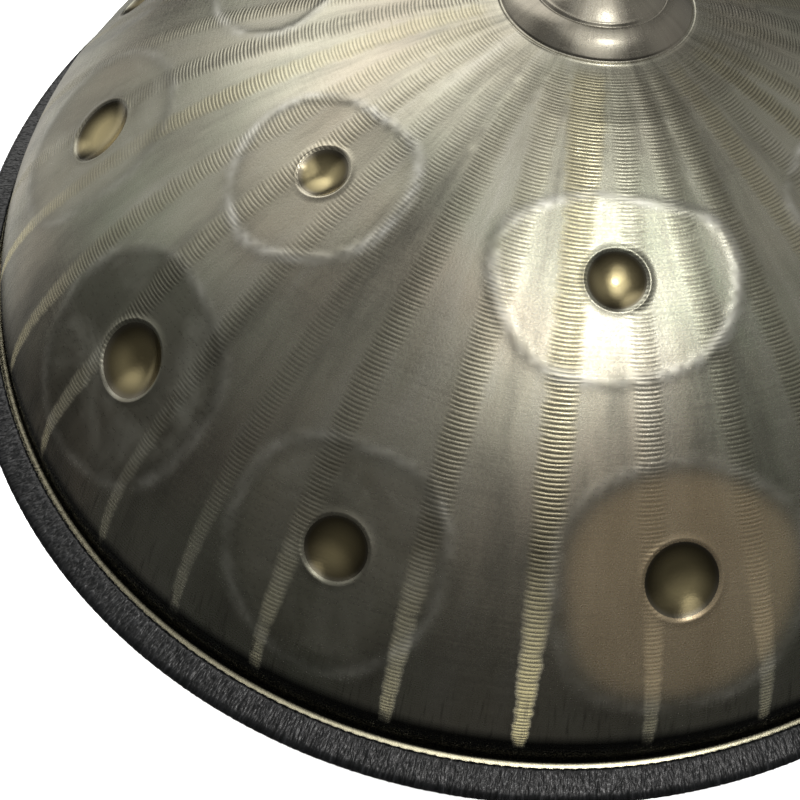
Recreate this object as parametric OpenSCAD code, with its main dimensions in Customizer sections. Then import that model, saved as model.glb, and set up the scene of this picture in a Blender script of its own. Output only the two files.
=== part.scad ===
// Handpan: two hammered steel shells glued rim to rim, with an edge trim over the joint.
// Origin at the bottom centre, +Z up. Millimetres.

/* [Overall] */
// Diameter over the edge trim
overall_d = 560; // [480:1:620]
// Height of the playing dome's crown above its flange, before the centre note is raised
dome_h = 116.2; // [95:0.1:135]
// Depth of the lower bowl below its flange
bowl_h = 116; // [95:0.5:135]
// Thickness of the steel sheet of both shells
sheet_t = 1.2; // [0.8:0.1:1.6]

/* [Dome curve] */
// Fullness of the curve near the crown
curve_a = 2.15; // [1.8:0.01:2.6]
// Fullness of the curve near the wall
curve_b = 1.56; // [1.4:0.01:2.2]
// Steps that the curve is drawn in, crown to wall
curve_steps = 36; // [20:1:60]
// Radius of the fillet from the wall into the flange
flange_fillet = 2.5; // [2:0.5:8]

/* [Centre note] */
// Radius of the faint crease around the centre note
centre_field_r = 72; // [60:1:80]
// Radius where the raised centre leaves the dome
centre_step_r = 41.5; // [34:0.5:50]
// Radius of the crown dome on top of the raised centre
centre_crown_r = 27.6; // [20:0.1:32]
// Rise from the dome to the edge of the crown dome
centre_step_h = 6.6; // [3:0.1:10]
// Rise of the crown dome over its own edge
centre_crown_h = 7.4; // [4:0.1:12]
// How far the skirt between the two bulges over a straight cone
centre_skirt_full = 1.3; // [0:0.1:2]

/* [Outer ring of notes] */
// Number of notes in the outer ring
outer_count = 13; // [8:1:13]
// Distance of their centres from the axis
outer_ring_r = 223; // [190:1:226]
// Direction of the first note, degrees from +X
outer_start = -74.2; // [-180:0.1:180]
// Radius of curvature left along the slope of each note
outer_crown = 374; // [300:1:600]
// Size of the note's field over the radius of its dimple
outer_field_ratio = 2.75; // [2:0.05:3]
// Radius of the largest dimple
outer_dimple_max = 15.2; // [12:0.1:17]
// Radius of the smallest dimple
outer_dimple_min = 12.5; // [9:0.1:15]

/* [Inner ring of notes] */
// Number of notes in the inner ring
inner_count = 7; // [4:1:7]
// Distance of their centres from the axis
inner_ring_r = 133; // [115:1:145]
// Direction of the first note, degrees from +X
inner_start = -79.8; // [-180:0.1:180]
// Size of the note's field over the radius of its dimple
inner_field_ratio = 3.2; // [2.5:0.05:3.6]
// Radius of the largest dimple
inner_dimple_max = 11.9; // [9:0.1:14]
// Radius of the smallest dimple
inner_dimple_min = 10.7; // [8:0.1:12]

/* [Dimples] */
// Depth of a dimple over its radius
dimple_depth_ratio = 0.24; // [0.12:0.01:0.35]

/* [Port] */
// Diameter of the air port in the bowl
port_d = 104; // [80:1:130]
// Radius that the port's edge is rolled in with
port_roll_r = 9; // [5:0.5:14]
// Straight length of the port's neck above the roll
port_neck_h = 16; // [8:0.5:40]
// Width of the flat ring around the port that the instrument rests on
rest_land_w = 3; // [1:0.5:8]

/* [Rim] */
// Thickness of the adhesive between the two flanges
adhesive_t = 0.4; // [0.2:0.1:1]
// How far the adhesive stays back from the flanges' outer edge
adhesive_setback = 1.5; // [0.5:0.1:4]
// Radial width of the edge trim
trim_w = 10.4; // [8:0.1:16]
// Height of the edge trim
trim_h = 8.6; // [7:0.1:12]
// Corner radius on the outside of the trim
trim_round = 3; // [1:0.1:3.4]
// Corner radius on the inner edge of each lip
lip_round = 1; // [0.4:0.1:1.2]
// Flange left bare between the trim and the fillet
trim_gap = 0.2; // [0.1:0.1:2]
// Clearance between the flanges' edge and the floor of the trim's channel
channel_clear = 0.4; // [0.1:0.1:1]
// Outside wall of the trim, from its channel's floor
trim_back_t = 3.2; // [2.4:0.1:4]

/* [Trim clips] */
// Number of steel clips moulded into the trim
clip_count = 208; // [60:1:416]
// Share of the pitch that each clip fills
clip_fill = 0.75; // [0.5:0.05:0.9]
// Thickness of a clip
clip_t = 0.6; // [0.4:0.1:0.8]
// Trim left between the channel and a clip
clip_cover = 0.9; // [0.5:0.1:1.2]

/* [Colours] */
// Steel of the playing shell
top_colour = [0.47, 0.45, 0.38];
// Steel of the lower shell
bowl_colour = [0.43, 0.41, 0.35];
// Cured adhesive
adhesive_colour = [0.16, 0.16, 0.15];
// Black trim
trim_colour = [0.07, 0.07, 0.07];
// Bright steel of the clips
clip_colour = [0.72, 0.72, 0.7];

/* [Hidden] */
$fn = 96;
rim_r = overall_d / 2;
wall_r = rim_r - trim_w - trim_gap - flange_fillet;
flange_r = rim_r - trim_back_t - channel_clear;
port_r = port_d / 2;
land_in_r = port_r + port_roll_r;
land_out_r = land_in_r + rest_land_w;
// heights, from the resting ring upwards
bowl_flange_z = bowl_h;
adhesive_z = bowl_flange_z + sheet_t;
top_flange_z = adhesive_z + adhesive_t;
rim_z = top_flange_z + sheet_t;
stack_h = 2 * sheet_t + adhesive_t;
// crown of the centre note, above the flange
centre_top_h = centre_step_h + centre_crown_h;
// angle between notes
outer_pitch = 360 / outer_count;
inner_pitch = 360 / inner_count;

// ---- curves ----

// height of the dome over its flange at radius r
function dome_z(r) = dome_h * pow(1 - pow(r / wall_r, curve_a), 1 / curve_b);
// slope angle of the dome at radius r
function dome_tilt(r) = atan((dome_z(r - 0.5) - dome_z(r + 0.5)));
// drawing angle of the curve that gives radius r on a span
function curve_at(r, span) = asin(pow(r / span, curve_a / 2));
// drawing angle of the curve that gives height z
function curve_at_z(z, h) = acos(pow(z / h, curve_b / 2));
// a point of the curve set in by off along its normal
function curve_pt(q, r0, span, h, off) =
    let (sr = max(pow(sin(q), 2 / curve_a), 0.0001))
    let (sz = max(pow(cos(q), 2 / curve_b), 0.0001))
    let (nr = curve_a / span * pow(sr, curve_a - 1))
    let (nz = curve_b / h * pow(sz, curve_b - 1))
    let (n = sqrt(nr * nr + nz * nz))
    [r0 + span * sr - off * nr / n, h * sz - off * nz / n];
// points of an arc in a profile
function arc(c, r, a0, a1, n) =
    [for (i = [0:n]) c + r * [cos(a0 + (a1 - a0) * i / n), sin(a0 + (a1 - a0) * i / n)]];

// ---- playing shell ----

top_wall_q = curve_at_z(flange_fillet, dome_h);
top_wall_r = curve_pt(top_wall_q, 0, wall_r, dome_h, 0)[0];
field_q = curve_at(centre_field_r, wall_r);
crown_rad = (pow(centre_crown_r, 2) + pow(centre_crown_h, 2)) / (2 * centre_crown_h);
step_z = dome_z(centre_step_r);
crown_z = step_z + centre_step_h;

// wall and dome, from the fillet up to the centre note's crease
function dome_pts(off) =
    [for (i = [0:curve_steps])
        curve_pt(top_wall_q + (field_q - top_wall_q) * i / curve_steps, 0, wall_r, dome_h, off)];
// skirt of the centre note, from its step in to the crown dome
function skirt_pts(off) =
    [for (i = [0:5])
        let (t = i / 6)
        [centre_step_r + (centre_crown_r - centre_step_r) * t,
            step_z + centre_step_h * t + centre_skirt_full * sin(180 * t) - off]];
// crown dome of the centre note, in to the axis
function crown_pts(off) =
    [for (i = [0:8])
        let (r = centre_crown_r * (1 - i / 8))
        [r, crown_z + centre_crown_h - crown_rad + sqrt(crown_rad * crown_rad - r * r) - off]];

module top_outside() {
    rotate_extrude()
        polygon(concat(
            [[0, -sheet_t], [flange_r, -sheet_t], [flange_r, 0]],
            arc([top_wall_r + flange_fillet, flange_fillet], flange_fillet, 270, 180, 7),
            [for (i = [1:curve_steps]) dome_pts(0)[i]],
            skirt_pts(0),
            crown_pts(0)));
}

module top_inside() {
    fillet_c = [top_wall_r + flange_fillet, flange_fillet];
    rotate_extrude()
        polygon(concat(
            [[0, -sheet_t - 1], [fillet_c[0], -sheet_t - 1]],
            arc(fillet_c, flange_fillet + sheet_t, 270, 180, 7),
            [for (i = [1:curve_steps]) dome_pts(sheet_t)[i]],
            skirt_pts(sheet_t),
            crown_pts(sheet_t)));
}

// puts its children on the dome at radius r and direction a, with +Z along the normal
// and +X down the slope
module on_dome(r, a) {
    rotate([0, 0, a])
        translate([r, 0, dome_z(r)])
            rotate([0, dome_tilt(r), 0])
                children();
}

// what is taken off over one note: flat across, with a crown of radius crown down the slope
module note_cut(half, depth, crown, off) {
    difference() {
        translate([-half * 1.6, -half * 1.6, -depth - off - 4])
            cube([half * 3.2, half * 3.2, 34]);
        translate([0, 0, -depth - crown])
            rotate([90, 0, 0])
                cylinder(h = half * 4, r = crown - off, center = true, $fn = 200);
    }
}

// the dimple in the middle of a note
module dimple_cut(dimple_r, depth, off) {
    deep = dimple_r * dimple_depth_ratio;
    ball = (dimple_r * dimple_r + deep * deep) / (2 * deep);
    translate([0, 0, -depth - deep + ball])
        sphere(r = ball + off, $fn = 120);
}

// field half-size and the depth of cut that gives it
function outer_dimple(i) =
    i % 2 == 0 ? outer_dimple_max - 0.05 * i : outer_dimple_min + 0.1 * (i - 1);
function inner_dimple(i) =
    i % 2 == 0 ? inner_dimple_max - 0.05 * i : inner_dimple_min + 0.05 * (i - 1);
function cut_depth(half, r) = half * half * sin(dome_tilt(r)) / (2 * r);
// the four notes nearest the player are not quite evenly spaced
function outer_angle(i) = outer_start - outer_pitch * i - (i == 1 ? 1.6 : 0);
function inner_angle(i) = inner_start - inner_pitch * i + (i == 1 ? 1.6 : 0);

module note_cuts(off) {
    for (i = [0:outer_count - 1]) {
        half = outer_dimple(i) * outer_field_ratio;
        depth = cut_depth(half, outer_ring_r);
        on_dome(outer_ring_r, outer_angle(i)) {
            note_cut(half, depth, outer_crown, off);
            dimple_cut(outer_dimple(i), depth, off);
        }
    }
    for (i = [0:inner_count - 1]) {
        half = inner_dimple(i) * inner_field_ratio;
        depth = cut_depth(half, inner_ring_r);
        on_dome(inner_ring_r, inner_angle(i)) {
            translate([-half * 1.5, -half * 1.5, -depth - off])
                cube([half * 3, half * 3, 30]);
            dimple_cut(inner_dimple(i), depth, off);
        }
    }
}

module top_shell() {
    color(top_colour)
        translate([0, 0, rim_z])
            difference() {
                difference() {
                    top_outside();
                    note_cuts(0);
                }
                difference() {
                    top_inside();
                    note_cuts(sheet_t);
                }
            }
}

// ---- lower shell ----

bowl_span = wall_r - land_out_r;
bowl_wall_q = curve_at_z(flange_fillet, bowl_h);
bowl_wall_r = curve_pt(bowl_wall_q, land_out_r, bowl_span, bowl_h, 0)[0];

// wall and bowl, from the fillet down to the resting ring, as depths below the flange
function bowl_pts(off) =
    [for (i = [0:curve_steps])
        curve_pt(bowl_wall_q * (1 - i / curve_steps), land_out_r, bowl_span, bowl_h, off)];
// a depth below the bowl's flange turned into a height
function up(p) = [p[0], bowl_h - p[1]];

module bottom_shell() {
    fillet_c = [bowl_wall_r + flange_fillet, bowl_h - flange_fillet];
    roll_c = [land_in_r, port_roll_r];
    neck_z = port_roll_r + port_neck_h;
    color(bowl_colour)
        rotate_extrude()
            polygon(concat(
                [[flange_r, bowl_h + sheet_t], [flange_r, bowl_h]],
                arc(fillet_c, flange_fillet, 90, 180, 7),
                [for (i = [1:curve_steps]) up(bowl_pts(0)[i])],
                arc(roll_c, port_roll_r, 270, 180, 8),
                [[port_r, neck_z], [port_r + sheet_t, neck_z]],
                arc(roll_c, port_roll_r - sheet_t, 180, 270, 8),
                [for (i = [1:curve_steps]) up(bowl_pts(sheet_t)[curve_steps - i + 0])],
                arc(fillet_c, flange_fillet + sheet_t, 180, 90, 7)));
}

// ---- rim ----

module flange_adhesive() {
    color(adhesive_colour)
        translate([0, 0, adhesive_z])
            difference() {
                cylinder(h = adhesive_t, r = flange_r - adhesive_setback);
                translate([0, 0, -1])
                    cylinder(h = adhesive_t + 2, r = top_wall_r + flange_fillet);
            }
}

// outline of the trim around the middle of the flanges
lip_r = rim_r - trim_w;
channel_r = rim_r - trim_back_t;
half_h = trim_h / 2;

module trim_section() {
    polygon(concat(
        [[lip_r, stack_h / 2], [channel_r, stack_h / 2]],
        [[channel_r, -stack_h / 2], [lip_r, -stack_h / 2]],
        arc([lip_r + lip_round, lip_round - half_h], lip_round, 180, 270, 5),
        arc([rim_r - trim_round, trim_round - half_h], trim_round, 270, 360, 8),
        arc([rim_r - trim_round, half_h - trim_round], trim_round, 0, 90, 8),
        arc([lip_r + lip_round, half_h - lip_round], lip_round, 90, 180, 5)));
}

// a clip's section: two legs and a back, bent around the channel
module clip_section() {
    in_z = stack_h / 2 + clip_cover;
    back_r = channel_r + clip_cover;
    difference() {
        translate([lip_r + 1.5, -in_z - clip_t])
            square([back_r + clip_t - lip_r - 1.5, 2 * (in_z + clip_t)]);
        translate([lip_r + 0.5, -in_z])
            square([back_r - lip_r - 0.5, 2 * in_z]);
    }
}

module edge_trim() {
    color(trim_colour)
        translate([0, 0, adhesive_z + adhesive_t / 2])
            difference() {
                rotate_extrude()
                    trim_section();
                rotate_extrude()
                    clip_section();
            }
}

module trim_clips() {
    color(clip_colour)
        translate([0, 0, adhesive_z + adhesive_t / 2])
            for (i = [0:clip_count - 1])
                rotate([0, 0, 360 / clip_count * i])
                    rotate_extrude(angle = 360 / clip_count * clip_fill)
                        clip_section();
}

top_shell();
bottom_shell();
flange_adhesive();
edge_trim();
trim_clips();
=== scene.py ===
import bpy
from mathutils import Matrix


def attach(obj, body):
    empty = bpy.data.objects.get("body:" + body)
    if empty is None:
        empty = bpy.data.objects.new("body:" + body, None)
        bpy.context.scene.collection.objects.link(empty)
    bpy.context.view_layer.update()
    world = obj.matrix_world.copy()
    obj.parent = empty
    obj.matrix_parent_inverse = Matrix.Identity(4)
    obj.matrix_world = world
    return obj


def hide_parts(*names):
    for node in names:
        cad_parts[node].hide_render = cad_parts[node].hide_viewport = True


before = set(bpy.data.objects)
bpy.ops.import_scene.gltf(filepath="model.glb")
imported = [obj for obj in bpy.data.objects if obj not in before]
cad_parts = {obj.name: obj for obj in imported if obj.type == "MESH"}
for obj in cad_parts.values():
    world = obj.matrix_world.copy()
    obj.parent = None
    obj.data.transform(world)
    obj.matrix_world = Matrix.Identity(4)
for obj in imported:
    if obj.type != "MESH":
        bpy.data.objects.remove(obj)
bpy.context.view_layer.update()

import math

import bpy
import numpy as np
from mathutils import Matrix, Vector
from mathutils.geometry import delaunay_2d_cdt

MM = 0.001

# ---------------------------------------------------------------- camera
RIM_Z = 118.8          # top of the playing shell's flange, mm above the floor
CAM_DIST, CAM_ELEV = 414.8, math.radians(48.04)
CAM_YAW, CAM_PITCH, CAM_ROLL = (math.radians(a) for a in (1.459, -7.389, 9.997))
SENSOR, LENS, SHIFT_X, SHIFT_Y = 36.0, 33.985, -0.20993, -0.15253


def turned(a, b, angle):
    """Two unit vectors turned by an angle in their own plane."""
    return a * math.cos(angle) + b * math.sin(angle), b * math.cos(angle) - a * math.sin(angle)


def make_camera():
    c = np.array([0.0, -CAM_DIST * math.cos(CAM_ELEV), CAM_DIST * math.sin(CAM_ELEV)])
    f = -c / np.linalg.norm(c)
    r = np.cross(f, [0, 0, 1.0])
    r /= np.linalg.norm(r)
    u = np.cross(r, f)
    f, r = turned(f, r, CAM_YAW)
    f, u = turned(f, u, CAM_PITCH)
    r, u = turned(r, u, CAM_ROLL)
    data = bpy.data.cameras.new("camera")
    data.lens, data.sensor_width = LENS, SENSOR
    data.shift_x, data.shift_y = SHIFT_X, SHIFT_Y
    data.clip_start, data.clip_end = 0.01, 50.0
    cam = bpy.data.objects.new("camera", data)
    bpy.context.scene.collection.objects.link(cam)
    m = Matrix(((r[0], u[0], -f[0]), (r[1], u[1], -f[1]), (r[2], u[2], -f[2]))).to_4x4()
    m.translation = Vector((c + [0, 0, RIM_Z]) * MM)
    cam.matrix_world = m
    bpy.context.scene.camera = cam


make_camera()
bpy.context.scene.view_settings.view_transform = "Standard"

# ---------------------------------------------------------------- the playing shell's form, in mm
SHEET = 1.2
DOME_H, WALL_R, CURVE_A, CURVE_B = 116.2, 266.9, 2.15, 1.56
FILLET, FLANGE_R = 2.5, 276.4
CENTRE_FIELD_R, STEP_R, CROWN_R, STEP_H, CROWN_H = 72.0, 41.5, 27.6, 6.6, 7.4
SKIRT_FULL = 1.3       # how far the raised centre's skirt swells out
PROFILE_STEP, CREASE = 0.1, 0.3


def dome_z(r):
    return DOME_H * np.power(np.clip(1 - np.power(r / WALL_R, CURVE_A), 0, 1), 1 / CURVE_B)


def resample(pts, step):
    pts = np.array(pts, float)
    s = np.concatenate([[0], np.cumsum(np.hypot(*np.diff(pts, axis=0).T))])
    t = np.linspace(0, s[-1], int(round(s[-1] / step)) + 1)
    return np.stack([np.interp(t, s, pts[:, 0]), np.interp(t, s, pts[:, 1])], 1), t


def soften(p, step, sigma):
    """A profile that starts on the axis, with its creases rounded over about sigma mm."""
    n = int(4 * sigma / step)
    k = np.exp(-0.5 * (np.arange(-n, n + 1) * step / sigma) ** 2)
    k /= k.sum()
    head = p[1:n + 1][::-1] * [-1, 1]
    full = np.concatenate([head, p, 2 * p[-1] - p[-n - 1:-1][::-1]])
    return np.stack([np.convolve(full[:, i], k, "valid") for i in (0, 1)], 1)


def top_profile():
    ball = (CROWN_R ** 2 + CROWN_H ** 2) / (2 * CROWN_H)
    crown_z = float(dome_z(STEP_R)) + STEP_H
    low = crown_z + CROWN_H - ball
    pts = [(r, low + math.sqrt(ball ** 2 - r ** 2)) for r in np.linspace(0, CROWN_R, 60)]
    for t in np.linspace(0.04, 1, 24):
        full = SKIRT_FULL * math.sin(math.pi * t)
        pts.append((CROWN_R + (STEP_R - CROWN_R) * t, crown_z - STEP_H * t + full))
    q1 = math.acos((FILLET / DOME_H) ** (CURVE_B / 2))
    q0 = math.asin((CENTRE_FIELD_R / WALL_R) ** (CURVE_A / 2))
    for q in np.linspace(q0, q1, 700):
        pts.append((WALL_R * math.sin(q) ** (2 / CURVE_A), DOME_H * math.cos(q) ** (2 / CURVE_B)))
    wall = pts[-1][0]
    for a in np.linspace(math.pi, 1.5 * math.pi, 24)[1:]:
        pts.append((wall + FILLET + FILLET * math.cos(a), FILLET + FILLET * math.sin(a)))
    pts.append((FLANGE_R, 0))
    p, _ = resample(pts, PROFILE_STEP)
    p = soften(p, PROFILE_STEP, CREASE)
    p[0, 0] = 0
    return resample(p, PROFILE_STEP)


PROF, ARC = top_profile()
PROF_S = ARC[-1]
TAN = np.gradient(PROF, ARC, axis=0)
TAN /= np.linalg.norm(TAN, axis=1, keepdims=True)


def arc_at(r):
    """Length along the profile, from the axis to distance r from it."""
    return float(np.interp(r, PROF[:, 0], ARC))


# note fields: direction in degrees, distance from the axis, half-sizes across and down the slope,
# radius of the dimple, depth of the flattening, how dark the heat colour sits in it, tilt in degrees,
# how brown that colour is
OUTER = [(-74.2, 223.0, 43, 41, 14.6, 2.9, 0.7, 0, 1.0), (-103.5, 227.5, 36, 38, 12.4, 2.2, 0.6, 0, 0.1),
         (-129.6, 221.3, 40, 40, 15.2, 2.5, 0.85, 0, 0.0), (-158.2, 207.0, 38, 40, 16.0, 2.0, 0.6, 0, 0.1)]
INNER = [(-79.8, 131.8, 42.5, 32, 11.9, 1.5, 0.0, 0, 0.0), (-129.6, 135.4, 34, 31, 10.7, 1.3, 0.1, 18, 0.6)]
for n in range(9):
    a = -157.0 - (360 - 82.8) / 10 * (n + 1)
    OUTER.append((a, 223.0, 37 + 3 * (n % 3), 37 + 2 * ((n + 1) % 3), 13.0 + 0.8 * ((n * 2) % 3), 1.9,
                  0.3 + 0.2 * (n % 3), 0, 0.5 * (n % 3)))
for n in range(5):
    a = -129.6 - (360 - 49.8) / 6 * (n + 1)
    INNER.append((a, 133.0, 41 + n % 3, 30 + n % 2, 11.2 + 0.3 * (n % 2), 1.4,
                  0.1 * (n % 3), 0, 0.3 * (n % 2)))
FIELDS = OUTER + INNER
DIMPLE_DRAWN = 0.94    # a dimple's pressed radius over the radius listed above
PIT_EDGE = 0.12        # mm over which a dimple's edge is rounded

# polished bands: directions in degrees near the rim, going round from the player's right
rng = np.random.default_rng(11)
BANDS = [-59.0, -67.5, -76.8, -86.4, -96.3, -106.8, -114.4, -122.8, -132.6, -141.6, -151.6]
GAINS = [0.8, 0.75, 0.7, 1.0, 0.8, 0.7, 0.45, 0.5, 0.7, 0.65, 0.6]
GOLD = [0.3, 0.2, 0.2, 1.0, 0.4, 0.2, 0.1, 0.1, 0.3, 0.5, 1.0]
left = 360 - (BANDS[0] - BANDS[-1])
steps = 1 + 0.16 * rng.uniform(-1, 1, 28)
for w in np.cumsum(steps / steps.sum() * left)[:-1]:
    BANDS.append(BANDS[10] - float(w))
    GAINS.append(0.55 + 0.45 * float(rng.random()))
    GOLD.append(0.9 * float(rng.random()))
BANDS, GAINS, GOLD = np.array(BANDS), np.array(GAINS), np.array(GOLD)
ORDER = np.argsort(BANDS)
BANDS, GAINS, GOLD = BANDS[ORDER], GAINS[ORDER], GOLD[ORDER]
GRID_END_R = 262.0     # where the mesh changes from an even grid to rings
BAND_START, BAND_END = arc_at(46.0), arc_at(264.6)
BAND_HALF = 5.8        # half the width of the strongest bands, mm
# heights in mm: hammered swell, bands, outline of a note field, collar round the centre
SWELL, BAND_RISE, OUTLINE_RISE, COLLAR_RISE = 0.05, 0.20, 0.30, 0.14
# hammered swell: radians per mm, direction and phase
WAVES = [(float(rng.uniform(0.018, 0.05)), float(rng.uniform(0, 2 * math.pi)),
          float(rng.uniform(0, 2 * math.pi))) for _ in range(9)]


def angle_off(t, t0):
    return (t - t0 + 180) % 360 - 180


def band_at(s, t):
    """Signed distance to the nearest band over its half-width, its strength there and how gold it is."""
    r = np.interp(s, ARC, PROF[:, 0])
    drift = -4.5 * np.clip((115 - s) / 70, 0, 1) ** 1.5 * np.where(angle_off(t, -88) < 0, 1, -0.6)
    tt = t - drift
    ext_b = np.concatenate([[BANDS[-1] - 360], BANDS, [BANDS[0] + 360]])
    ext_g = np.concatenate([[GAINS[-1]], GAINS, [GAINS[0]]])
    base = BANDS[0]
    tt = (tt - base) % 360 + base
    i = np.clip(np.searchsorted(ext_b, tt), 1, len(ext_b) - 1)
    lo, hi = ext_b[i - 1], ext_b[i]
    near_hi = (hi - tt) < (tt - lo)
    centre = np.where(near_hi, hi, lo)
    gain = np.where(near_hi, ext_g[i], ext_g[i - 1])
    ext_y = np.concatenate([[GOLD[-1]], GOLD, [GOLD[0]]])
    gold = np.where(near_hi, ext_y[i], ext_y[i - 1])
    gap = np.radians(hi - lo) * r / 2
    # bands narrow towards the rim
    half = np.minimum(BAND_HALF * (0.5 + 0.5 * gain), gap * 0.9)
    half = half * (0.38 + 0.62 * np.clip((PROF_S - 14 - s) / 90, 0, 1))
    d = np.radians(tt - centre) * r / np.maximum(half, 0.3)
    fade = np.clip((s - BAND_START) / 6, 0, 1) * np.clip((BAND_END - s) / 3, 0, 1)
    return d, gain * fade, gold


def softplus(x, k):
    """x where it is positive and 0 elsewhere, with a soft bend."""
    return np.where(x > 20, x, np.log1p(np.exp(np.clip(x * k, -60, 40))) / k)


def inside(q, edge, soft):
    """1 where q is under edge and 0 past it, with a soft step."""
    return 1 / (1 + np.exp(np.clip((q - edge) / soft, -40, 40)))


def field_masks(s, t):
    """Flattening depth, field mask, darkness, dimple depth, outline and brownness at each point."""
    r = np.interp(s, ARC, PROF[:, 0])
    depth, mask, dark, pit, ring, brown = (np.zeros_like(s) for _ in range(6))
    for a, fr, across, down, dimple, deep, tone, tilt, umber in FIELDS:
        s0 = arc_at(fr)
        u = s - s0
        v = np.radians(angle_off(t, a)) * (r + fr) / 2
        near = (np.abs(u) < 62) & (np.abs(v) < 62) & (s > 60)
        un, vn = u[near], v[near]
        d = np.hypot(un, vn)
        ct, st = math.cos(math.radians(tilt)), math.sin(math.radians(tilt))
        un, vn = un * ct + vn * st, vn * ct - un * st
        # a soft oval: fuller than an ellipse, a little larger towards the rim
        dn = down * (1 + 0.08 * np.tanh(un / 20))
        way = np.arctan2(un, vn)
        wob = 1 + 0.02 * np.sin(3 * way + a) + 0.015 * np.sin(5 * way + 2 * a)
        q = (np.abs(un / dn) ** 2.15 + np.abs(vn / across) ** 2.15) ** (1 / 2.15) / wob
        size = (across + down) / 2
        k = 3.2 / size
        x = (1 - q * q) / (2 * k)
        depth[near] += deep * 2 * k * softplus(x, 2)
        mask[near] = np.maximum(mask[near], inside(q, 1, 0.045))
        dark[near] = np.maximum(dark[near], tone * (1 - umber) * inside(q, 0.97, 0.05))
        brown[near] = np.maximum(brown[near], umber * tone * inside(q, 0.97, 0.04))
        ring[near] += (0.8 if fr < 180 else 0.4) * np.exp(-((q - 1.03) / 0.055) ** 2)
        dimple = dimple * DIMPLE_DRAWN
        low = 0.28 * dimple
        ball = (dimple ** 2 + low ** 2) / (2 * low)
        bowl = np.sqrt(np.maximum(ball ** 2 - d ** 2, 0)) - (ball - low)
        pit[near] += PIT_EDGE * softplus(bowl / PIT_EDGE, 1)
        depth[near] -= 0.2 * np.exp(-((d - dimple - 0.6) / 0.7) ** 2)
    return depth, mask, dark, pit, ring, brown


def surface(x, y, offset=0.0, fine=True):
    """Points of the playing shell, in mm, for points x, y of its flattened disc."""
    s = np.hypot(x, y)
    t = np.degrees(np.arctan2(y, x))
    r, z = np.interp(s, ARC, PROF[:, 0]), np.interp(s, ARC, PROF[:, 1])
    tr, tz = np.interp(s, ARC, TAN[:, 0]), np.interp(s, ARC, TAN[:, 1])
    depth, _, _, pit, ring, _ = field_masks(s, t)
    d, gain, _ = band_at(s, t)
    off = -depth - pit + OUTLINE_RISE * ring
    if fine:
        swell = sum(np.sin(k * (x * math.cos(p) + y * math.sin(p)) + q) for k, p, q in WAVES)
        calm = np.clip((s - 45) / 20, 0, 1) * np.clip((arc_at(255) - s) / 20, 0, 1)
        off = off + SWELL * swell * calm + BAND_RISE * gain * np.exp(-d * d) * calm
        off = off + COLLAR_RISE * calm * np.exp(-((s - 74) / 4.0) ** 2)
        # the raised centre is pressed up, which leaves a fine groove and lip at both of its steps
        for r0, up, lip, down, dip in ((STEP_R, 0.9, 0.30, -0.6, 0.30), (CROWN_R, -0.7, 0.16, 0.7, 0.30)):
            s0 = s - arc_at(r0)
            off = off + lip * np.exp(-((s0 - up) / 0.55) ** 2) - dip * np.exp(-((s0 - down) / 0.5) ** 2)
    n_r, n_z = -tz, tr
    safe = np.maximum(s, 1e-6)
    cx, cy = np.where(s > 1e-6, x / safe, 1.0), np.where(s > 1e-6, y / safe, 0.0)
    rr = r + (off - offset) * n_r
    zz = z + (off - offset) * n_z
    return np.stack([rr * cx, rr * cy, zz + RIM_Z], -1)


def normals(x, y, offset=0.0, flip=False, h=0.25):
    a = surface(x + h, y, offset) - surface(x - h, y, offset)
    b = surface(x, y + h, offset) - surface(x, y - h, offset)
    n = np.cross(a, b)
    n /= np.linalg.norm(n, axis=1, keepdims=True)
    return -n if flip else n


def rings(radii, count):
    a = np.arange(count) * 2 * math.pi / count
    return np.concatenate([np.stack([r * np.cos(a), r * np.sin(a)], 1) for r in radii])


def disc_points(step, dimple_step, dimple_count, rim_count, edge):
    """Points of the flattened disc: an even grid, with rings at each dimple, the centre and the rim."""
    rim_s = arc_at(GRID_END_R)
    n = int(rim_s / step) + 2
    i, j = np.meshgrid(np.arange(-2 * n, 2 * n), np.arange(-int(1.2 * n), int(1.2 * n)))
    x, y = (i + 0.5 * (j % 2)) * step, j * step * math.sqrt(3) / 2
    g = np.stack([x.ravel(), y.ravel()], 1)
    s = np.hypot(g[:, 0], g[:, 1])
    keep = (s < rim_s - step * 0.7) & (s > 50 + step * 0.6)
    g = g[keep]
    extra = []
    for a, fr, _, _, dimple, *_ in FIELDS:
        s0 = arc_at(fr)
        cx, cy = s0 * math.cos(math.radians(a)), s0 * math.sin(math.radians(a))
        # the flattened disc is wider than the shell, so a ring is drawn in real distances
        wide = s0 / fr
        reach = dimple + 2.4
        lip = DIMPLE_DRAWN * dimple
        rad = np.concatenate([np.arange(dimple_step, lip - 1.2, dimple_step),
                              [lip - 0.7, lip - 0.2, lip + 0.3, lip + 0.9, reach]])
        q = rings(rad, dimple_count)
        e = np.array([math.cos(math.radians(a)), math.sin(math.radians(a))])
        f = np.array([-e[1], e[0]])
        q = np.concatenate([[[0.0, 0.0]], q])
        extra.append(np.array([cx, cy]) + q[:, :1] * e + q[:, 1:] * f * wide)
        du, dv = (g - [cx, cy]) @ e, (g - [cx, cy]) @ f / wide
        g = g[np.hypot(du, dv) > reach + step * 0.55]
    a, b = arc_at(CROWN_R), arc_at(STEP_R)
    centre = np.concatenate([np.arange(2.5, a - 2.4, 2.0), np.arange(a - 2, a + 2.1, 0.4),
                             np.arange(a + 3, b - 2.4, 1.4), np.arange(b - 2, b + 2.3, 0.4),
                             [min(b + 3.2, 50.4)]])
    extra.append(rings(centre, max(40, dimple_count * 2 + 24)))
    extra.append(np.array([[0.0, 0.0]]))
    ring_s = np.concatenate([np.arange(rim_s, PROF_S - 1.5, edge), [PROF_S]])
    extra.append(rings(ring_s, rim_count))
    return np.concatenate([g] + extra)


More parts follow.
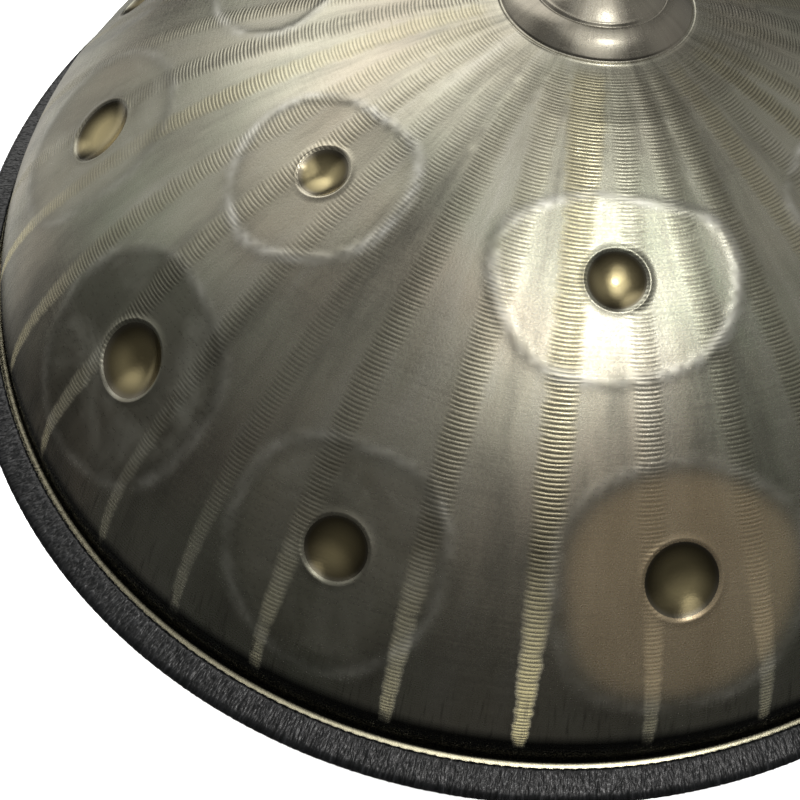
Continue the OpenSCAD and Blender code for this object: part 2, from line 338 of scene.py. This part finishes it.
def triangulate(pts):
    r = delaunay_2d_cdt([Vector(p) for p in pts.tolist()], [], [], 0, 1e-5)
    verts = np.array([list(v) for v in r[0]])
    return verts, [list(f) for f in r[2]]


def make_object(name, verts, faces, norms=None, attrs=None):
    me = bpy.data.meshes.new(name)
    me.from_pydata((verts * MM).tolist(), [], faces)
    me.update()
    me.polygons.foreach_set("use_smooth", np.ones(len(me.polygons), bool))
    for key, val in (attrs or {}).items():
        at = me.attributes.new(key, "FLOAT", "POINT")
        at.data.foreach_set("value", np.ascontiguousarray(val, np.float32))
    if norms is not None:
        me.normals_split_custom_set_from_vertices(norms.tolist())
    ob = bpy.data.objects.new(name, me)
    bpy.context.scene.collection.objects.link(ob)
    return ob


def make_top_shell():
    rim = 480
    out_xy, out_f = triangulate(disc_points(3.0, 1.9, 44, rim, 1.2))
    in_xy, in_f = triangulate(disc_points(8.0, 3.2, 20, rim, 3.0))
    n_out = len(out_xy)
    ox, oy, ix, iy = out_xy[:, 0], out_xy[:, 1], in_xy[:, 0], in_xy[:, 1]
    verts = np.concatenate([surface(ox, oy), surface(ix, iy, SHEET, False)])
    norms = np.concatenate([normals(ox, oy), normals(ix, iy, SHEET, True, 0.6)])
    faces = out_f + [[n_out + i for i in f[::-1]] for f in in_f]

    def edge(xy, base):
        s = np.hypot(xy[:, 0], xy[:, 1])
        idx = np.where(s > PROF_S - 0.01)[0]
        return [base + i for i in idx[np.argsort(np.arctan2(xy[idx, 1], xy[idx, 0]))]]
    a, b = edge(out_xy, 0), edge(in_xy, n_out)
    m = len(a)
    assert m == len(b) == rim, (m, len(b))
    shift = int(np.argmin([np.linalg.norm(verts[a[0]] - verts[j] - [0, 0, SHEET]) for j in b]))
    for i in range(m):
        faces.append([a[i], b[(i + shift) % m], b[(i + shift + 1) % m], a[(i + 1) % m]])
    x, y = np.concatenate([ox, ix]), np.concatenate([oy, iy])
    s, t = np.hypot(x, y), np.degrees(np.arctan2(y, x))
    _, mask, dark, pit, ring, brown = field_masks(s, t)
    d, gain, gold = band_at(s, t)
    gain[n_out:] = 0
    dim = np.clip(pit / 0.8, 0, 1)
    ob = make_object("playing_shell", verts, faces, norms, {
        "arc": s, "band": np.minimum(np.abs(d), 3), "gain": gain * (1 - 0.7 * dim), "tone": dark,
        "field": mask, "dimple": dim, "ring": np.clip(ring, 0, 1), "brown": brown,
        "gold": gold, "deep": np.clip(pit / 3.2, 0, 1)})
    # dimples and the raised centre are polished evenly, without the round scratches
    me = ob.data
    even = (dim > 0.35) | (s < arc_at(STEP_R) - 0.1)
    even[n_out:] = False
    loops = np.zeros(len(me.loops), np.int32)
    me.loops.foreach_get("vertex_index", loops)
    first, count = np.zeros(len(me.polygons), np.int32), np.zeros(len(me.polygons), np.int32)
    me.polygons.foreach_get("loop_start", first)
    me.polygons.foreach_get("loop_total", count)
    share = np.add.reduceat(even[loops].astype(float), first) / count
    return ob, (share > 0.99).astype(np.int32)


# ---------------------------------------------------------------- the lower shell and the trim, in mm
def revolve(name, prof, count, push, attrs):
    """A ring of the closed profile prof, rows of (r, z) in mm.

    push gives how far each point moves along the profile's normal.
    """
    prof = np.array(prof, float)
    n = len(prof)
    t = np.roll(prof, -1, 0) - np.roll(prof, 1, 0)
    t /= np.maximum(np.linalg.norm(t, axis=1, keepdims=True), 1e-9)
    nrm = np.stack([t[:, 1], -t[:, 0]], 1)
    a = np.arange(count) * 2 * math.pi / count
    A, I = np.meshgrid(a, np.arange(n), indexing="ij")
    R, Z = prof[I, 0], prof[I, 1]
    d = push(A, I, R)
    R, Z = R + d * nrm[I, 0], Z + d * nrm[I, 1]
    verts = np.stack([R * np.cos(A), R * np.sin(A), Z], -1).reshape(-1, 3)
    faces = []
    for i in range(count):
        k, m = i * n, ((i + 1) % count) * n
        for j in range(n):
            q = (j + 1) % n
            faces.append((k + j, m + j, m + q, k + q))
    extra = {k: np.broadcast_to(v[None, :], (count, n)).ravel() for k, v in attrs.items()}
    return make_object(name, verts, faces, None, extra)


def arc_pts(cr, cz, rad, a0, a1, n):
    return [(cr + rad * math.cos(math.radians(a0 + (a1 - a0) * i / n)),
             cz + rad * math.sin(math.radians(a0 + (a1 - a0) * i / n))) for i in range(n + 1)]


BOWL_H, PORT_R, ROLL_R, NECK_H, LAND = 116.0, 52.0, 9.0, 16.0, 3.0


def bowl_curve(offset, steps):
    r0 = PORT_R + ROLL_R + LAND
    span = WALL_R - r0
    q1 = math.acos((FILLET / BOWL_H) ** (CURVE_B / 2))
    out = []
    for q in np.linspace(q1, 0, steps):
        sr, sz = max(math.sin(q) ** (2 / CURVE_A), 1e-4), max(math.cos(q) ** (2 / CURVE_B), 1e-4)
        nr, nz = CURVE_A / span * sr ** (CURVE_A - 1), CURVE_B / BOWL_H * sz ** (CURVE_B - 1)
        n = math.hypot(nr, nz)
        out.append((r0 + span * sr - offset * nr / n, BOWL_H - (BOWL_H * sz - offset * nz / n)))
    return out


def make_bottom_shell():
    outer, inner = bowl_curve(0, 84), bowl_curve(SHEET, 40)
    wall = outer[0][0]
    roll = (PORT_R + ROLL_R, ROLL_R)
    fil = (wall + FILLET, BOWL_H - FILLET)
    neck = ROLL_R + NECK_H
    prof = [(FLANGE_R, BOWL_H + SHEET), (FLANGE_R, BOWL_H)]
    prof += arc_pts(*fil, FILLET, 90, 180, 8) + outer[1:]
    outer_rows = len(prof)
    prof += arc_pts(*roll, ROLL_R, 270, 180, 12)
    prof += [(PORT_R, z) for z in np.linspace(ROLL_R + 2, neck - 0.5, 6)]
    prof += [(PORT_R + 0.25, neck - 0.07), (PORT_R + SHEET / 2, neck)]
    prof += [(PORT_R + SHEET - 0.25, neck - 0.07)]
    prof += [(PORT_R + SHEET, z) for z in np.linspace(neck - 0.5, ROLL_R + 2, 4)]
    prof += arc_pts(*roll, ROLL_R - SHEET, 180, 270, 8)
    prof += inner[::-1][:-1] + arc_pts(*fil, FILLET + SHEET, 180, 90, 8)
    p = np.array(prof)
    s = np.concatenate([[0], np.cumsum(np.hypot(*np.diff(p, axis=0).T))])
    lo = wall - 8
    live = np.clip((lo - p[:, 0]) / 12, 0, 1) * np.clip((p[:, 0] - 74) / 12, 0, 1)

    def push(A, I, R):
        # the hammered sheet's slight swell, the same on both faces
        w = np.sin(9 * A + 0.05 * R) + np.sin(14 * A - 0.08 * R + 1.3) + np.sin(5 * A + 0.11 * R + 4.1)
        return -SWELL * np.abs(w) * live[I] * np.where(I < outer_rows, 1, -1)
    return revolve("lower_shell", p, 320, push, {"arc": s})


TRIM_W, TRIM_H, TRIM_ROUND, LIP_ROUND, BACK_T, RIM_R = 10.4, 8.6, 3.0, 1.0, 3.2, 279.92
GLUE = 0.4
STACK = 2 * SHEET + GLUE
MID_Z = BOWL_H + SHEET + GLUE / 2
PUCKERS = 404          # pleats round the trim's lip
PLEAT, PLEAT_BACK, GRAIN = 0.24, 0.08, 0.05    # depths of the pleats and the grain, mm


def make_trim():
    lip, half, ch = RIM_R - TRIM_W, TRIM_H / 2, RIM_R - BACK_T
    p = [(ch, STACK / 2), (ch, -STACK / 2), (lip + 4, -STACK / 2), (lip + 0.6, -STACK / 2)]
    p += arc_pts(lip + LIP_ROUND, LIP_ROUND - half, LIP_ROUND, 180, 270, 4)
    p += [(r, -half) for r in np.linspace(lip + 2.2, RIM_R - TRIM_ROUND - 1, 4)]
    p += arc_pts(RIM_R - TRIM_ROUND, TRIM_ROUND - half, TRIM_ROUND, 270, 360, 6)
    p += [(RIM_R, 0.0)]
    p += arc_pts(RIM_R - TRIM_ROUND, half - TRIM_ROUND, TRIM_ROUND, 0, 90, 6)
    p += [(r, half) for r in np.linspace(RIM_R - TRIM_ROUND - 1, lip + 2.2, 4)]
    p += arc_pts(lip + LIP_ROUND, half - LIP_ROUND, LIP_ROUND, 90, 180, 4)
    p += [(lip + 0.6, STACK / 2), (lip + 4, STACK / 2)]
    p = np.array(p)
    s = np.concatenate([[0], np.cumsum(np.hypot(*np.diff(p, axis=0).T))])
    p[:, 1] += MID_Z
    r = p[:, 0]
    free = ((np.abs(p[:, 1] - MID_Z) > STACK / 2 + 0.2) | (r > ch + 0.5)).astype(float)
    lipw = np.clip((lip + 4.5 - r) / 4.5, 0, 1)

    def push(A, I, R):
        # the lip is drawn in at each pleat, and the grain makes it uneven
        ph = PUCKERS * A
        u = 0.6 * np.sin(7.3 * np.sin(A * 61) + A * 17)
        pleat = (0.5 + 0.5 * np.cos(ph + u)) ** 1.5
        grain = np.sin(A * 1571 + 2.1 * I) * np.sin(A * 983 + 1.3 * I)
        grain = grain + 0.6 * np.sin(A * 677 - 0.9 * I + 2)
        d = -PLEAT * pleat * lipw[I] ** 1.5 - PLEAT_BACK * pleat * (1 - lipw[I]) - GRAIN * (1 + grain)
        return d * free[I]
    return revolve("rim_trim", p, 4 * PUCKERS, push, {"arc": s, "lip": lipw})


# ---------------------------------------------------------------- materials
class Nodes:
    """A material's node tree, and short calls that add to it."""

    def __init__(self, name):
        self.mat = bpy.data.materials.new(name)
        self.mat.use_nodes = True
        self.t = self.mat.node_tree
        self.t.nodes.clear()
        self.out = self.t.nodes.new("ShaderNodeOutputMaterial")
        self.bsdf = self.t.nodes.new("ShaderNodeBsdfPrincipled")
        self.t.links.new(self.bsdf.outputs[0], self.out.inputs[0])

    def link(self, src, dst):
        if hasattr(src, "outputs"):
            src = src.outputs[0]
        if hasattr(src, "is_output"):
            self.t.links.new(src, dst)
        else:
            dst.default_value = src

    def math(self, op, a, b=0.0, c=0.0, clamp=False):
        n = self.t.nodes.new("ShaderNodeMath")
        n.operation, n.use_clamp = op, clamp
        for v, s in zip((a, b, c), n.inputs):
            self.link(v, s)
        return n.outputs[0]

    def add(self, a, b):
        return self.math("ADD", a, b)

    def sub(self, a, b, clamp=False):
        return self.math("SUBTRACT", a, b, clamp=clamp)

    def mul(self, a, b, clamp=False):
        return self.math("MULTIPLY", a, b, clamp=clamp)

    def attr(self, name):
        n = self.t.nodes.new("ShaderNodeAttribute")
        n.attribute_name = name
        return n.outputs["Fac"]

    def coords(self):
        return self.t.nodes.new("ShaderNodeTexCoord").outputs["Object"]

    def xyz(self, v):
        n = self.t.nodes.new("ShaderNodeSeparateXYZ")
        self.link(v, n.inputs[0])
        return n.outputs

    def vec(self, x, y, z):
        n = self.t.nodes.new("ShaderNodeCombineXYZ")
        for v, s in zip((x, y, z), n.inputs):
            self.link(v, s)
        return n.outputs[0]

    def noise(self, v, scale, detail=3.0, rough=0.55, distort=0.0):
        n = self.t.nodes.new("ShaderNodeTexNoise")
        self.link(v, n.inputs["Vector"])
        n.inputs["Scale"].default_value = scale
        n.inputs["Detail"].default_value = detail
        n.inputs["Roughness"].default_value = rough
        n.inputs["Distortion"].default_value = distort
        return n.outputs["Fac"]

    def voronoi(self, v, scale):
        n = self.t.nodes.new("ShaderNodeTexVoronoi")
        self.link(v, n.inputs["Vector"])
        n.inputs["Scale"].default_value = scale
        return n.outputs["Distance"]

    def ramp(self, fac, stops):
        n = self.t.nodes.new("ShaderNodeValToRGB")
        self.link(fac, n.inputs[0])
        el = n.color_ramp.elements
        while len(el) < len(stops):
            el.new(0.5)
        for e, (p, c) in zip(el, stops):
            e.position = p
            e.color = (*c, 1)
        return n.outputs[0]

    def mix(self, fac, a, b):
        n = self.t.nodes.new("ShaderNodeMix")
        n.data_type = "RGBA"
        self.link(fac, n.inputs[0])
        for v, s in ((a, n.inputs[6]), (b, n.inputs[7])):
            if isinstance(v, tuple):
                s.default_value = (*v, 1)
            else:
                self.link(v, s)
        return n.outputs[2]

    def brush(self, amount):
        """Stretched highlights, as from scratches that run round the axis."""
        self.bsdf.inputs["Anisotropic"].default_value = amount
        self.bsdf.inputs["Anisotropic Rotation"].default_value = 0.25
        tan = self.t.nodes.new("ShaderNodeTangent")
        tan.direction_type, tan.axis = "RADIAL", "Z"
        self.link(tan, self.bsdf.inputs["Tangent"])

    def bump(self, height_mm):
        n = self.t.nodes.new("ShaderNodeBump")
        n.inputs["Strength"].default_value = 1.0
        n.inputs["Distance"].default_value = MM
        self.link(height_mm, n.inputs["Height"])
        self.link(n.outputs[0], self.bsdf.inputs["Normal"])


# colours of the steel, linear RGB
# olive, khaki and bronze clouds
CLOUDS = [(0.32, (0.40, 0.43, 0.33)), (0.5, (0.56, 0.55, 0.44)), (0.7, (0.62, 0.555, 0.44))]
# small brown patches
PATCH = (0.42, 0.37, 0.31)
# rays down the slope
DULL_RAY = (0.27, 0.26, 0.215)
BRIGHT_RAY = (0.70, 0.68, 0.59)
# polished bands and the troughs of their ripples
GOLD_BAND = (0.86, 0.76, 0.42)
TROUGH = (0.13, 0.125, 0.10)
# heat colours in the note fields
HEAT_DARK = (0.25, 0.245, 0.19)
HAZE = (0.60, 0.60, 0.51)
HEAT_BROWN = (0.60, 0.45, 0.26)
# outline of a field: painted shade along its edge and a painted highlight on the raised line round it
FIELD_EDGE_SHADE = (0.17, 0.165, 0.13)
OUTLINE_HIGHLIGHT = (0.80, 0.79, 0.73)
# the wall's foot: marks of the comb, painted shade near the trim, and a painted highlight along the line
# against the trim
COMB = (0.14, 0.13, 0.10)
WALL_FOOT_SHADE = (0.012, 0.012, 0.010)
TRIM_LINE_HIGHLIGHT = (0.92, 0.86, 0.62)
# the raised centre and the dimples; a dimple is gold in its middle, with painted shade darkening it towards
# its rim
CENTRE = (0.33, 0.30, 0.25)
DIMPLE_MIDDLE_GOLD = (0.74, 0.63, 0.34)
DIMPLE_RIM_SHADE = (0.13, 0.11, 0.065)
RIPPLE_PITCH = 1.5     # mm


def span(m, arc, r0, r1):
    """0 at distance r0 from the axis, growing to 1 at r1."""
    return m.mul(m.sub(arc, arc_at(r0)), 1 / (arc_at(r1) - arc_at(r0)), clamp=True)


def bands(m, arc, x, y):
    """Where the polished bands are, and the wave of their ripples."""
    band = m.attr("band")
    over = m.mul(band, band)
    edge = m.noise(m.vec(m.mul(arc, 0.37), m.mul(x, 60.0), m.mul(y, 60.0)), 1.0, 2.0)
    ragged = m.add(over, m.mul(m.sub(edge, 0.5), 1.6))
    mask = m.mul(m.sub(1.25, ragged, clamp=True), m.attr("gain"))
    mask = m.mul(mask, 1.0, clamp=True)
    # each ripple is a short bow across the band
    phase = m.add(m.mul(arc, 2 * math.pi / RIPPLE_PITCH), m.mul(over, 1.5))
    phase = m.add(phase, m.mul(edge, 5.0))
    return mask, m.math("SINE", phase)


def banded(m, base, mask, ripple, low):
    """The steel's colour with the polished bands on it."""
    gold = m.add(m.mul(m.attr("gold"), m.add(0.4, m.mul(low, 0.6))), m.mul(low, 0.3))
    base = m.mix(m.mul(mask, gold, clamp=True), base, GOLD_BAND)
    # the troughs of the ripples keep some of the dark polish
    deep = m.mul(m.mul(mask, m.sub(0.25, ripple, clamp=True)), 0.8)
    return m.mix(deep, base, TROUGH)


def heated(m, co, base):
    """The colour with the note fields' heat tints, painted shade at their edges and a painted highlight on
    their raised outlines; also their haze and that highlight's mask.
    """
    tone, field = m.attr("tone"), m.attr("field")
    base = m.mix(m.mul(tone, 0.62), base, HEAT_DARK)
    # the heat colour is cloudy inside each field
    haze = m.mul(m.sub(m.noise(co, 34.0, 4.0, 0.6, 0.6), 0.46, clamp=True), m.mul(tone, 3.0))
    base = m.mix(m.mul(haze, 1.0, clamp=True), base, HAZE)
    base = m.mix(m.mul(m.attr("brown"), 0.95, clamp=True), base, HEAT_BROWN)
    # painted shade along the edge of each field, where the flattening bends
    lip = m.mul(m.mul(field, m.sub(1.0, field)), 4.0)
    base = m.mix(m.mul(lip, 0.4), base, FIELD_EDGE_SHADE)
    # painted highlight: a pale, cloudy line on the raised outline round each field; the same mask also
    # makes it less metallic below
    outline_highlight = m.mul(m.sub(m.noise(co, 60.0, 3.0, 0.6), 0.3, clamp=True), 3.0)
    outline_highlight = m.mul(m.attr("ring"), outline_highlight)
    return m.mix(m.mul(outline_highlight, 0.7, clamp=True), base, OUTLINE_HIGHLIGHT), haze, outline_highlight


def footed(m, base, arc, nx, ny, mask):
    """The wall's foot gets painted shade, nearly black, down to a painted highlight line against the trim.
    """
    comb = m.noise(m.vec(m.mul(nx, 260.0), m.mul(ny, 260.0), m.mul(arc, 0.07)), 1.0, 2.0)
    comb = m.mul(m.sub(comb, 0.54, clamp=True), m.mul(span(m, arc, 248, 256), 3.0))
    base = m.mix(m.mul(comb, 1.0, clamp=True), base, COMB)
    # painted shade: the wall's foot is darkened nearly to black, a little less under the bands
    foot = m.mul(span(m, arc, 260.8, 263.2), m.sub(0.95, m.mul(mask, 0.7)))
    base = m.mix(foot, base, WALL_FOOT_SHADE)
    # painted highlight: a bright gold line where the wall meets the trim
    line = m.mul(m.sub(arc, arc_at(268.1)), 2.0, clamp=True)
    return m.mix(line, base, TRIM_LINE_HIGHLIGHT)


def steel(name, kind):
    """Heat-coloured steel: the "playing" face, its "polished" parts or the "lower" shell."""
    m = Nodes(name)
    co = m.coords()
    x, y, _ = m.xyz(co)
    arc = m.attr("arc")
    far = m.math("SQRT", m.add(m.mul(x, x), m.mul(y, y)))
    nx, ny = m.math("DIVIDE", x, m.add(far, 0.001)), m.math("DIVIDE", y, m.add(far, 0.001))
    # scratches that run round the shell, and rays of uneven polish that run down it
    round_v = m.vec(m.mul(arc, 0.9), m.mul(x, 26.0), m.mul(y, 26.0))
    scratch = m.noise(round_v, 1.6, 2.0, 0.6)
    rays = m.noise(m.vec(m.mul(nx, 9.0), m.mul(ny, 9.0), m.mul(arc, 0.012)), 1.0, 4.0, 0.62)
    grit = m.noise(co, 1100.0, 2.0, 0.65)
    cloud = m.noise(co, 8.0, 3.0, 0.55, 0.4)
    patch = m.noise(co, 24.0, 3.0, 0.6)
    base = m.ramp(cloud, CLOUDS)
    base = m.mix(m.mul(m.sub(patch, 0.48, clamp=True), 1.6), base, PATCH)
    base = m.mix(m.mul(m.sub(0.5, rays, clamp=True), 3.6, clamp=True), base, DULL_RAY)
    base = m.mix(m.mul(m.sub(rays, 0.51, clamp=True), 2.4, clamp=True), base, BRIGHT_RAY)
    rough = m.add(0.27, m.mul(m.sub(scratch, 0.5), 0.14))
    rough = m.add(rough, m.mul(m.sub(grit, 0.5), 0.2))
    height = m.add(m.mul(scratch, 0.010), m.mul(grit, 0.024))
    metal = 1.0
    if kind == "playing":
        low = span(m, arc, 215, 262)
        mask, ripple = bands(m, arc, x, y)
        tall = m.add(0.042, m.mul(low, 0.05))
        height = m.add(height, m.mul(m.mul(ripple, mask), tall))
        base, haze, outline_highlight = heated(m, co, banded(m, base, mask, ripple, low))
        rough = m.add(rough, m.mul(m.attr("tone"), 0.05))
        rough = m.add(rough, m.mul(m.attr("ring"), 0.08))
        # scratched and oxidised places scatter light instead of mirroring it
        matt = m.mul(m.mul(mask, low), m.add(0.10, m.mul(m.attr("gold"), 0.34)))
        matt = m.add(matt, m.add(m.mul(outline_highlight, 0.10), m.mul(m.attr("brown"), 0.09)))
        matt = m.add(matt, m.mul(haze, 0.05))
        metal = m.sub(1.0, matt, clamp=True)
        base = footed(m, base, arc, nx, ny, mask)
        m.brush(0.55)
    elif kind == "polished":
        dimple, deep = m.attr("dimple"), m.attr("deep")
        base = m.mix(0.65, base, CENTRE)
        # painted shade: each dimple darkens from gold in its middle to near black at its rim
        base = m.mix(dimple, base, m.mix(m.mul(deep, deep), DIMPLE_RIM_SHADE, DIMPLE_MIDDLE_GOLD))
        rough = m.sub(rough, m.add(0.03, m.mul(dimple, 0.05)))
    else:
        m.brush(0.5)
    m.link(base, m.bsdf.inputs["Base Color"])
    m.link(rough, m.bsdf.inputs["Roughness"])
    m.link(metal, m.bsdf.inputs["Metallic"])
    m.bump(height)
    return m.mat


TRIM_BLACKS = [(0.3, (0.001, 0.0012, 0.0012)), (0.6, (0.004, 0.0042, 0.0044)),
               (0.8, (0.012, 0.0125, 0.013))]
GLUE_BLACKS = [(0.3, (0.018, 0.018, 0.017)), (0.7, (0.035, 0.034, 0.031))]
CLIP_GREYS = [(0.3, (0.42, 0.42, 0.41)), (0.7, (0.56, 0.56, 0.54))]


def trim_material():
    m = Nodes("grained_black")
    co = m.coords()
    x, y, z = m.xyz(co)
    far = m.math("SQRT", m.add(m.mul(x, x), m.mul(y, y)))
    nx, ny = m.math("DIVIDE", x, far), m.math("DIVIDE", y, far)
    # creases of the grain are longer across the trim than along it
    across = m.add(m.mul(far, 330.0), m.mul(z, 330.0))
    creases = m.noise(m.vec(m.mul(nx, 260.0), m.mul(ny, 260.0), across), 1.0, 1.0, 0.5, 0.4)
    cells = m.voronoi(co, 700.0)
    tiny = m.noise(co, 1700.0, 2.0)
    big = m.noise(co, 16.0, 2.0)
    m.link(m.ramp(creases, TRIM_BLACKS), m.bsdf.inputs["Base Color"])
    rough = m.add(0.2, m.mul(m.sub(tiny, 0.5), 0.15))
    rough = m.add(rough, m.mul(m.sub(big, 0.5), 0.15))
    m.link(rough, m.bsdf.inputs["Roughness"])
    h = m.add(m.mul(cells, -0.08), m.mul(creases, 0.5))
    m.bump(m.add(h, m.mul(tiny, 0.01)))
    return m.mat


def glue_material():
    m = Nodes("cured_adhesive")
    co = m.coords()
    n = m.noise(co, 90.0, 3.0)
    m.link(m.ramp(n, GLUE_BLACKS), m.bsdf.inputs["Base Color"])
    m.link(m.add(0.35, m.mul(n, 0.3)), m.bsdf.inputs["Roughness"])
    m.bump(m.mul(n, 0.2))
    return m.mat


def clip_material():
    m = Nodes("clip_strip")
    co = m.coords()
    n = m.noise(co, 300.0, 3.0)
    m.link(m.ramp(n, CLIP_GREYS), m.bsdf.inputs["Base Color"])
    m.link(m.add(0.25, m.mul(n, 0.25)), m.bsdf.inputs["Roughness"])
    m.bsdf.inputs["Metallic"].default_value = 1.0
    m.bump(m.mul(n, 0.02))
    return m.mat


def put(ob, mat):
    ob.data.materials.clear()
    ob.data.materials.append(mat)


(top, polished), bowl, trim = make_top_shell(), make_bottom_shell(), make_trim()
put(top, steel("playing_steel", "playing"))
top.data.materials.append(steel("polished_steel", "polished"))
top.data.polygons.foreach_set("material_index", polished)
put(bowl, steel("bowl_steel", "lower"))
put(trim, trim_material())
put(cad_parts["flange_adhesive"], glue_material())
put(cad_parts["trim_clips"], clip_material())
for piece, node, where in ((top, "top_shell", "playing_steel"), (bowl, "bottom_shell", "bowl_steel"),
                           (trim, "edge_trim", "trim")):
    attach(piece, "root")
    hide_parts(node)

# ---------------------------------------------------------------- floor and light
FLOOR_HALF = 2.0       # m
AMBIENT = 0.045
# azimuth from +X, elevation, outer half-angle, strength, share of the half-angle at full strength
LOBES = [(0, 90, 80, 0.13, 0.2), (40, 84, 26, 0.9, 0.25), (-68, 73, 20, 0.75, 0.2),
         (78, 66, 16, 0.5, 0.2), (10, 80, 6, 9.0, 0.4), (124, 40, 28, 1.4, 0.25),
         (160, 26, 34, 0.36, 0.2), (158, -14, 26, 0.34, 0.2), (140, -30, 30, 0.3, 0.2),
         (100, 22, 18, 0.45, 0.2), (30, 18, 50, 0.22, 0.2)]


def make_floor():
    n = 48
    g = np.linspace(-FLOOR_HALF, FLOOR_HALF, n)
    X, Y = np.meshgrid(g, g)
    v = np.stack([X.ravel(), Y.ravel(), np.zeros(n * n)], 1) / MM
    f = [(k, k + 1, k + n + 1, k + n) for j in range(n - 1) for k in range(j * n, j * n + n - 1)]
    ob = make_object("floor", v, f)
    m = Nodes("floor")
    m.bsdf.inputs["Base Color"].default_value = (0.92, 0.92, 0.92, 1)
    m.link(m.add(0.85, m.mul(m.noise(m.coords(), 3.0), 0.1)), m.bsdf.inputs["Roughness"])
    put(ob, m.mat)
    ob.visible_glossy = False


def make_world():
    """A dim studio with the soft bright areas of LOBES, which the camera itself sees as white."""
    w = bpy.data.worlds.new("studio")
    bpy.context.scene.world = w
    w.use_nodes = True
    t = w.node_tree
    t.nodes.clear()
    out = t.nodes.new("ShaderNodeOutputWorld")
    geo = t.nodes.new("ShaderNodeTexCoord").outputs["Generated"]
    nrm = t.nodes.new("ShaderNodeVectorMath")
    nrm.operation = "NORMALIZE"
    t.links.new(geo, nrm.inputs[0])

    def add(a, b):
        n = t.nodes.new("ShaderNodeMath")
        n.operation = "ADD"
        t.links.new(a, n.inputs[0])
        if isinstance(b, float):
            n.inputs[1].default_value = b
        else:
            t.links.new(b, n.inputs[1])
        return n.outputs[0]

    def lobe(az, el, tight, power, flat):
        d = t.nodes.new("ShaderNodeVectorMath")
        d.operation = "DOT_PRODUCT"
        a, e = math.radians(az), math.radians(el)
        t.links.new(nrm.outputs[0], d.inputs[0])
        d.inputs[1].default_value = (math.cos(a) * math.cos(e), math.sin(a) * math.cos(e), math.sin(e))
        s = t.nodes.new("ShaderNodeMapRange")
        s.interpolation_type = "SMOOTHERSTEP"
        t.links.new(d.outputs["Value"], s.inputs["Value"])
        s.inputs["From Min"].default_value = math.cos(math.radians(tight))
        s.inputs["From Max"].default_value = math.cos(math.radians(tight * flat))
        s.inputs["To Min"].default_value = 0.0
        s.inputs["To Max"].default_value = power
        return s.outputs[0]

    total = lobe(*LOBES[0])
    for args in LOBES[1:]:
        total = add(total, lobe(*args))
    total = add(total, AMBIENT)
    seen = t.nodes.new("ShaderNodeBackground")
    seen.inputs[0].default_value = (1, 1, 1, 1)
    glow = t.nodes.new("ShaderNodeBackground")
    glow.inputs[0].default_value = (1.0, 0.985, 0.955, 1)
    t.links.new(total, glow.inputs[1])
    path = t.nodes.new("ShaderNodeLightPath")
    mix = t.nodes.new("ShaderNodeMixShader")
    t.links.new(path.outputs["Is Camera Ray"], mix.inputs[0])
    t.links.new(glow.outputs[0], mix.inputs[1])
    t.links.new(seen.outputs[0], mix.inputs[2])
    t.links.new(mix.outputs[0], out.inputs[0])


def area(name, az, el, dist, size, watts):
    a, e = math.radians(az), math.radians(el)
    d = bpy.data.lights.new(name, "AREA")
    d.shape, d.size, d.energy = "DISK", size, watts
    ob = bpy.data.objects.new(name, d)
    bpy.context.scene.collection.objects.link(ob)
    v = Vector((math.cos(a) * math.cos(e), math.sin(a) * math.cos(e), math.sin(e)))
    ob.location = v * dist
    ob.rotation_mode = "QUATERNION"
    ob.rotation_quaternion = v.to_track_quat("Z", "Y")
    ob.visible_camera = False
    ob.visible_glossy = False


make_floor()
make_world()
area("floor_fill", 0, 90, 3.0, 3.0, 230)
